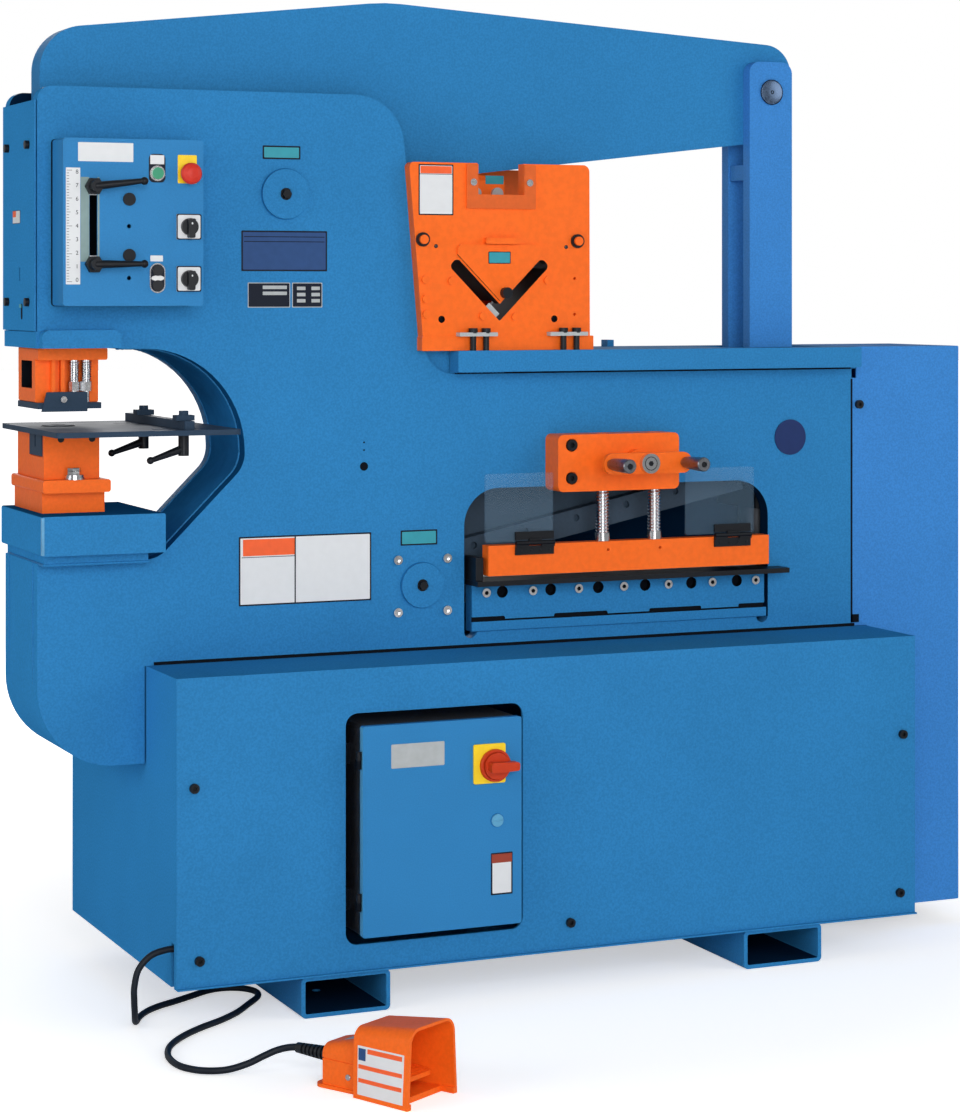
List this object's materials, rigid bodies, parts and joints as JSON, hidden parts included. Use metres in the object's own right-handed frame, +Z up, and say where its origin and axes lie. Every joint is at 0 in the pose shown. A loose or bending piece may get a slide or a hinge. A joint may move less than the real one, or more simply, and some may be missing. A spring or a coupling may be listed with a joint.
{
  "type": "hydraulic ironworker",
  "caption": "Floor-standing hydraulic ironworker with a rocking upper arm, punch station, angle shear, bar shear, controls and foot switch.",
  "frame": {"origin": "centre of the four anchor holes, on the floor plane under the skid tubes", "axes": "+X along the machine to the bar shear end, +Y from the operator to the back, +Z up"},
  "size_m": [2.0353, 1.3348, 1.9305],
  "materials": {
    "blue_paint": "textured powder coat",
    "orange_paint": "gloss enamel",
    "black_parts": "black oxide",
    "bright_steel": "ground steel",
    "dark_paint": "satin",
    "cable_rubber": "matt",
    "black_plastic": "matt",
    "clear_guard": "clear polycarbonate",
    "red_plastic": "gloss",
    "green_plastic": "gloss",
    "white_plastic": "gloss"
  },
  "bodies": {
    "frame": {"skid_tubes": "blue_paint", "base_cabinet": "blue_paint", "base_front_panel": "blue_paint", "electrical_box": "bright_steel", "power_unit": "dark_paint", "front_plate": "blue_paint", "back_plate": "blue_paint", "frame_webs": "blue_paint", "anvil_block": "blue_paint", "ram_housing": "blue_paint", "nose_cover": "blue_paint", "column_housing": "blue_paint", "control_box": "blue_paint", "gearbox_housing": "orange_paint", "blade_holder": "blue_paint", "fixed_blades": "bright_steel", "angle_shear_plate": "orange_paint", "angle_blade_block": "orange_paint", "pivot_pins": "blue_paint", "die_holder": "orange_paint", "punch_table": "dark_paint", "stripper_body": "orange_paint", "stripper_plate": "black_parts", "black_bolts": "black_parts", "plated_fasteners": "bright_steel", "angle_stop_clamps": "black_parts", "foot_switch_body": "orange_paint", "strain_relief": "black_plastic", "foot_switch_cable": "cable_rubber"},
    "upper_arm": {"upper_arm": "blue_paint"},
    "lift_rod": {"lift_rod": "bright_steel"},
    "lift_cylinder": {"lift_cylinder": "blue_paint"},
    "punch_ram": {"punch_ram": "bright_steel"},
    "shear_arm": {"shear_arm": "blue_paint"},
    "angle_ram": {"angle_ram": "orange_paint"},
    "crank_bar": {"crank_bar": "orange_paint"},
    "crank_grip_left": {"crank_grip_left": "bright_steel"},
    "crank_grip_right": {"crank_grip_right": "bright_steel"},
    "guard_left": {"guard_left": "clear_guard"},
    "guard_right": {"guard_right": "clear_guard"},
    "electrical_door": {"electrical_door": "blue_paint"},
    "disconnect_handle": {"disconnect_handle": "red_plastic"},
    "door_latch": {"door_latch": "black_parts"},
    "start_button": {"start_button": "green_plastic"},
    "emergency_stop": {"emergency_stop": "red_plastic"},
    "jog_up": {"jog_up": "white_plastic"},
    "jog_down": {"jog_down": "black_plastic"},
    "selector_upper": {"selector_upper": "black_parts"},
    "selector_lower": {"selector_lower": "black_parts"},
    "stroke_stop_upper": {"stroke_stop_upper": "bright_steel"},
    "stroke_stop_lower": {"stroke_stop_lower": "bright_steel"},
    "clamp_lever_upper": {"clamp_lever_upper": "black_parts"},
    "clamp_lever_lower": {"clamp_lever_lower": "black_parts"},
    "table_fence": {"table_fence": "dark_paint"},
    "kip_lever_left": {"kip_lever_left": "black_parts"},
    "kip_lever_right": {"kip_lever_right": "black_parts"},
    "treadle": {"treadle": "orange_paint"},
    "column": {"column_straps": "blue_paint"},
    "hold_down": {"hold_down_bar": "orange_paint", "lead_screws": "bright_steel"}
  },
  "joints": [
    {"name": "upper_arm_swing", "type": "hinge", "parent": "frame", "child": "upper_arm", "pos_m": [-0.522, -0.046, 1.543], "axis": [0, -1, 0], "range_deg": [-9.11, 5.5]},
    {"name": "column_swing", "type": "hinge", "parent": "upper_arm", "child": "column", "pos_m": [0.585, -0.046, 1.775], "axis": [0, -1, 0], "range_deg": [-6.56, 10.87]},
    {"name": "lift_cylinder_swing", "type": "hinge", "parent": "frame", "child": "lift_cylinder", "pos_m": [0.585, -0.046, 0.22], "axis": [0, -1, 0], "range_deg": [-3.98, 2.4]},
    {"name": "lift_rod_slide", "type": "slide", "parent": "lift_cylinder", "child": "lift_rod", "axis": [0, 0, 1], "range_m": [-0.17872, 0.10791]},
    {"name": "shear_arm_swing", "type": "hinge", "parent": "frame", "child": "shear_arm", "pos_m": [-0.237, -0.046, 0.776], "axis": [0, -1, 0], "range_deg": [-12.41, 7.5]},
    {"name": "punch_ram_slide", "type": "slide", "parent": "frame", "child": "punch_ram", "axis": [0, 0, -1], "range_m": [-0.06747, 0.04073]},
    {"name": "angle_ram_slide", "type": "slide", "parent": "frame", "child": "angle_ram", "axis": [0, 0, 1], "range_m": [-0.0712, 0.04299]},
    {"name": "hold_down_slide", "type": "slide", "parent": "frame", "child": "hold_down", "axis": [0, 0, 1], "range_m": [-0.008, 0.05]},
    {"name": "crank_turn", "type": "hinge", "parent": "frame", "child": "crank_bar", "pos_m": [0.203, 0, 1.012], "axis": [0, -1, 0], "range_deg": [-486, 3012]},
    {"name": "crank_grip_left_spin", "type": "hinge", "parent": "crank_bar", "child": "crank_grip_left", "pos_m": [0.121, 0, 1.012], "axis": [0, -1, 0], "continuous": true},
    {"name": "crank_grip_right_spin", "type": "hinge", "parent": "crank_bar", "child": "crank_grip_right", "pos_m": [0.285, 0, 1.012], "axis": [0, -1, 0], "continuous": true},
    {"name": "guard_left_swing", "type": "hinge", "parent": "hold_down", "child": "guard_left", "pos_m": [-0.014, -0.219, 0.856], "axis": [1, 0, 0], "range_deg": [0, 100]},
    {"name": "guard_right_swing", "type": "hinge", "parent": "hold_down", "child": "guard_right", "pos_m": [0.433, -0.219, 0.856], "axis": [1, 0, 0], "range_deg": [0, 100]},
    {"name": "electrical_door_swing", "type": "hinge", "parent": "frame", "child": "electrical_door", "pos_m": [-0.455, -0.39, 0.345], "axis": [0, 0, -1], "range_deg": [0, 120]},
    {"name": "disconnect_turn", "type": "hinge", "parent": "electrical_door", "child": "disconnect_handle", "pos_m": [-0.183, -0.39, 0.454], "axis": [0, -1, 0], "range_deg": [0, 90]},
    {"name": "door_latch_turn", "type": "hinge", "parent": "electrical_door", "child": "door_latch", "pos_m": [-0.176, -0.39, 0.348], "axis": [0, -1, 0], "range_deg": [0, 90]},
    {"name": "start_press", "type": "slide", "parent": "frame", "child": "start_button", "axis": [0, 1, 0], "range_m": [0, 0.005], "stiffness_N_per_m": 800, "springref_m": -0.001},
    {"name": "emergency_stop_press", "type": "slide", "parent": "frame", "child": "emergency_stop", "axis": [0, 1, 0], "range_m": [0, 0.006]},
    {"name": "jog_up_press", "type": "slide", "parent": "frame", "child": "jog_up", "axis": [0, 1, 0], "range_m": [0, 0.004], "stiffness_N_per_m": 800, "springref_m": -0.001},
    {"name": "jog_down_press", "type": "slide", "parent": "frame", "child": "jog_down", "axis": [0, 1, 0], "range_m": [0, 0.004], "stiffness_N_per_m": 800, "springref_m": -0.001},
    {"name": "selector_upper_turn", "type": "hinge", "parent": "frame", "child": "selector_upper", "pos_m": [-0.743, -0.25, 1.476], "axis": [0, -1, 0], "range_deg": [-45, 45]},
    {"name": "selector_lower_turn", "type": "hinge", "parent": "frame", "child": "selector_lower", "pos_m": [-0.743, -0.25, 1.3785], "axis": [0, -1, 0], "range_deg": [-45, 45]},
    {"name": "stroke_stop_upper_slide", "type": "slide", "parent": "frame", "child": "stroke_stop_upper", "axis": [0, 0, 1], "range_m": [-0.05, 0]},
    {"name": "stroke_stop_lower_slide", "type": "slide", "parent": "frame", "child": "stroke_stop_lower", "axis": [0, 0, 1], "range_m": [0, 0.05]},
    {"name": "clamp_lever_upper_turn", "type": "hinge", "parent": "stroke_stop_upper", "child": "clamp_lever_upper", "pos_m": [-0.926, -0.27, 1.549], "axis": [0, -1, 0], "range_deg": [0, 60]},
    {"name": "clamp_lever_lower_turn", "type": "hinge", "parent": "stroke_stop_lower", "child": "clamp_lever_lower", "pos_m": [-0.926, -0.27, 1.405], "axis": [0, -1, 0], "range_deg": [-60, 0]},
    {"name": "table_fence_slide", "type": "slide", "parent": "frame", "child": "table_fence", "axis": [1, 0, 0], "range_m": [-0.05, 0.05]},
    {"name": "kip_lever_left_turn", "type": "hinge", "parent": "table_fence", "child": "kip_lever_left", "pos_m": [-0.752, 0.01, 1.06], "axis": [0, 0, 1], "range_deg": [-60, 60]},
    {"name": "kip_lever_right_turn", "type": "hinge", "parent": "table_fence", "child": "kip_lever_right", "pos_m": [-0.752, -0.25, 1.06], "axis": [0, 0, 1], "range_deg": [-60, 60]},
    {"name": "treadle_press", "type": "hinge", "parent": "frame", "child": "treadle", "pos_m": [-0.58957, -0.84589, 0.04], "axis": [0.8634, 0.5045, 0], "range_deg": [0, 9], "stiffness_Nm_per_rad": 20, "springref_deg": -8.59}
  ],
  "couplings": [
    {"joint": "column_swing", "follows": "upper_arm_swing", "ratio": -1.17},
    {"joint": "lift_cylinder_swing", "follows": "upper_arm_swing", "ratio": 0.428},
    {"joint": "lift_rod_slide", "follows": "upper_arm_swing", "m_per_rad": 1.102},
    {"joint": "shear_arm_swing", "follows": "upper_arm_swing", "ratio": 1.336},
    {"joint": "punch_ram_slide", "follows": "upper_arm_swing", "m_per_rad": 0.416},
    {"joint": "angle_ram_slide", "follows": "upper_arm_swing", "m_per_rad": 0.439},
    {"joint": "crank_turn", "follows": "hold_down_slide", "rad_per_m": 1047.2}
  ]
}
